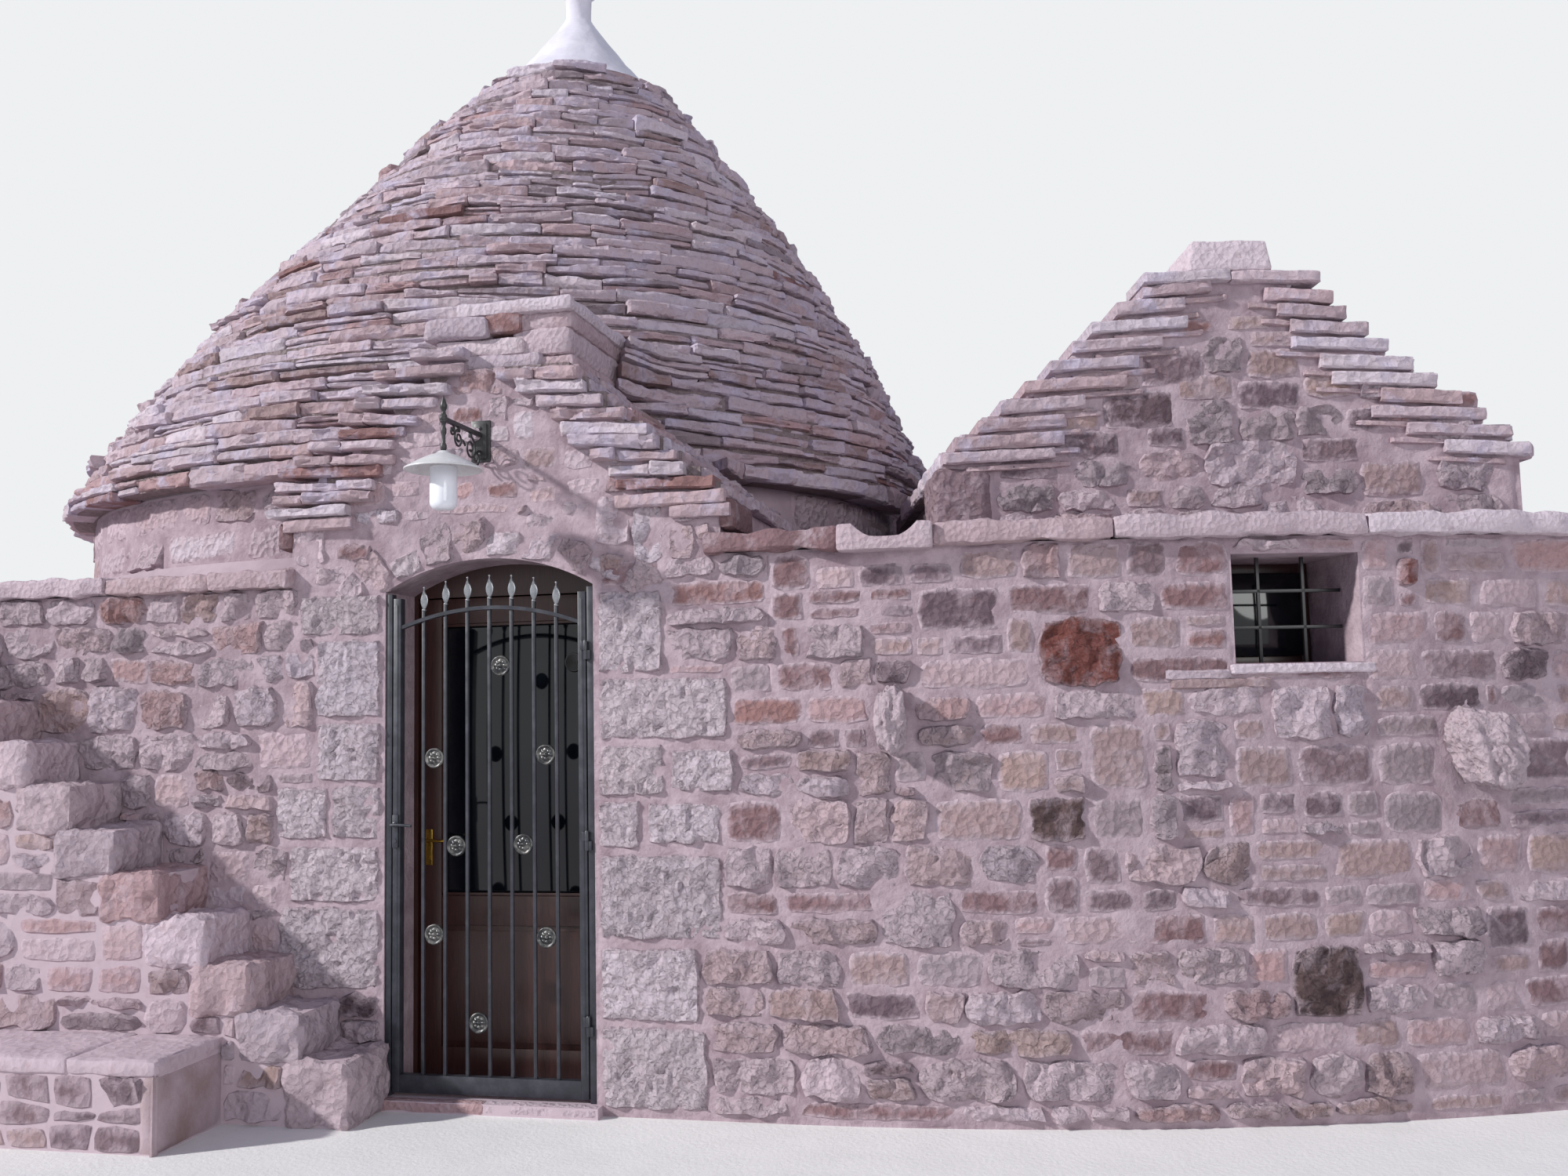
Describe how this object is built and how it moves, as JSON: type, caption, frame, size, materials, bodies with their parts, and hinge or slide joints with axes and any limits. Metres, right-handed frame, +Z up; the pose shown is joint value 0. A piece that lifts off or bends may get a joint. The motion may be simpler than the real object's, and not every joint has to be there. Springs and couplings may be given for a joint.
{
  "type": "trullo house",
  "caption": "Trullo house of pale limestone with a slab-covered cone, white pinnacle, gabled doorway, iron gate, bowed side wing and an outside stair",
  "frame": {"origin": "on the ground under the centre of the cone's eave ring", "axes": "X along the door wall to the right, -Y out of the front, Z up"},
  "size_m": [8.7728, 6.67, 6.675],
  "materials": {
    "limestone_wall": "rough",
    "limestone_slab": "rough",
    "dressed_stone": "rough",
    "lime_mortar": "matte",
    "white_plaster": "matte",
    "dark_iron": "satin",
    "dark_wood": "satin",
    "window_glass": "gloss",
    "brass": "satin",
    "dark_plastic": "matte",
    "pale_metal": "satin",
    "opal_glass": "satin"
  },
  "bodies": {
    "house": {"front_wall_left": "limestone_wall", "front_wall_right": "limestone_wall", "door_arch_wall": "limestone_wall", "left_wall": "limestone_wall", "back_wall": "limestone_wall", "right_wall": "limestone_wall", "side_passage_arch": "limestone_wall", "wing_left_wall_front": "limestone_wall", "wing_left_wall_back": "limestone_wall", "wing_front_wall_left": "limestone_wall", "wing_window_sill_wall": "limestone_wall", "wing_front_wall_right": "limestone_wall", "wing_lintel_course": "limestone_wall", "wing_right_wall": "limestone_wall", "wing_back_wall": "limestone_wall", "portal_gable": "limestone_wall", "wing_gable_front": "limestone_wall", "wing_gable_back": "limestone_wall", "cone_lower": "limestone_slab", "cone_middle": "limestone_slab", "cone_upper": "limestone_slab", "portal_slabs_left": "limestone_slab", "portal_slabs_right": "limestone_slab", "wing_roof_left": "limestone_slab", "wing_roof_right": "limestone_slab", "threshold": "dressed_stone", "coping_front": "dressed_stone", "coping_left": "dressed_stone", "coping_back": "dressed_stone", "wing_coping_front": "dressed_stone", "wing_coping_sides": "dressed_stone", "gutter_spout": "dressed_stone", "portal_cap": "dressed_stone", "portal_kneelers": "dressed_stone", "wing_capstones": "dressed_stone", "stair": "dressed_stone", "bench_block": "dressed_stone", "projecting_stones": "dressed_stone", "main_floor": "dressed_stone", "wing_floor": "dressed_stone", "drum": "lime_mortar", "main_terrace": "lime_mortar", "wing_terrace": "lime_mortar", "pinnacle": "white_plaster", "window_grille": "dark_iron", "gate_posts": "dark_iron", "lantern_bracket": "dark_iron", "window_frame": "dark_wood", "door_frame": "dark_wood", "window_glass": "window_glass", "lantern_shade": "pale_metal", "lantern_glass": "opal_glass"},
    "gate": {"gate_leaf": "dark_iron", "gate_rosettes": "dark_iron"},
    "door": {"door_leaf": "dark_wood", "door_glass": "window_glass", "door_handle": "brass", "door_vent": "dark_plastic"}
  },
  "joints": [
    {"name": "gate_swing", "type": "hinge", "parent": "house", "child": "gate", "pos_m": [1.512, -2.936, 0.32], "axis": [0, 0, 1], "range_deg": [0, 110]},
    {"name": "door_swing", "type": "hinge", "parent": "house", "child": "door", "pos_m": [1.5225, -2.589, 0.33], "axis": [0, 0, -1], "range_deg": [0, 90]}
  ]
}
